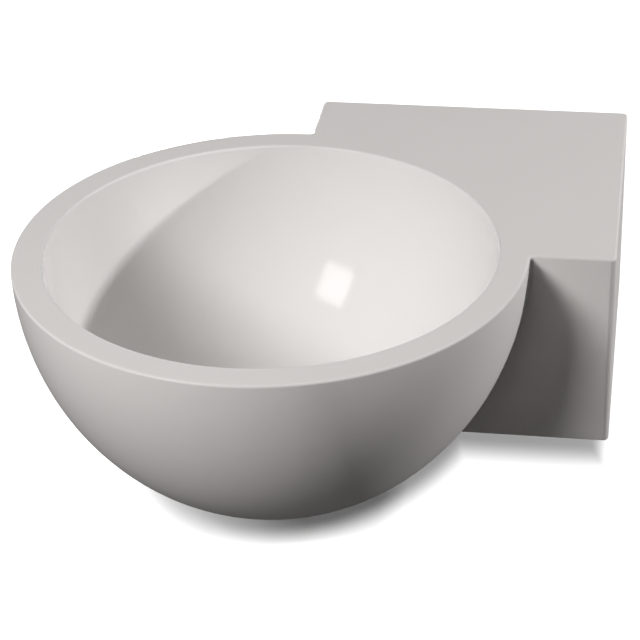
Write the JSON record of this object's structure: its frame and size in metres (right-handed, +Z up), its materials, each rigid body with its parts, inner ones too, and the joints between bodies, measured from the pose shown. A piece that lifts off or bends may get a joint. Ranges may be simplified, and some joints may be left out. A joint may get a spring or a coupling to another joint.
{
  "type": "wall hung basin",
  "caption": "Wall hung ceramic basin: a deep round bowl grown into a square block with a level deck, with a sprung push plug waste and wall bolts.",
  "frame": {"origin": "midway between the two wall fixing holes, in the plane of the wall", "axes": "+Z up, +Y into the wall, +X to the right as seen from the room"},
  "size_m": [0.5005, 0.5585, 0.25],
  "materials": {
    "glazed_ceramic": "warm white glaze, glossy in the bowl and satin on the outside",
    "chrome": "polished chrome plate",
    "brass": "turned, unplated",
    "seal_rubber": "moulded black rubber",
    "silicone": "moulded grey silicone",
    "slip_plastic": "white plastic",
    "nylon": "grey nylon",
    "zinc_steel": "zinc plated",
    "spring_steel": "drawn stainless wire"
  },
  "bodies": {
    "basin": {"back_nut": "brass", "basin_casting": "glazed_ceramic", "bolt_bush_left": "nylon", "bolt_bush_right": "nylon", "bolt_nut_left": "zinc_steel", "bolt_nut_right": "zinc_steel", "bolt_washer_left": "zinc_steel", "bolt_washer_right": "zinc_steel", "cartridge_sleeve": "brass", "flange_seal": "seal_rubber", "friction_washer": "slip_plastic", "hanger_bolt_left": "zinc_steel", "hanger_bolt_right": "zinc_steel", "latch_wire": "spring_steel", "plug_spring": "spring_steel", "sleeve_collar": "slip_plastic", "taper_washer": "seal_rubber", "waste_body": "chrome"},
    "plug": {"plug_cap": "chrome", "plug_seal": "silicone", "plug_stem": "brass"}
  },
  "joints": [
    {"name": "plug_push", "type": "slide", "parent": "basin", "child": "plug", "axis": [0, 0, -1], "range_m": [0, 0.0065], "stiffness_N_per_m": 1000, "springref_m": -0.006, "deforming": ["plug_spring", "latch_wire"]}
  ]
}
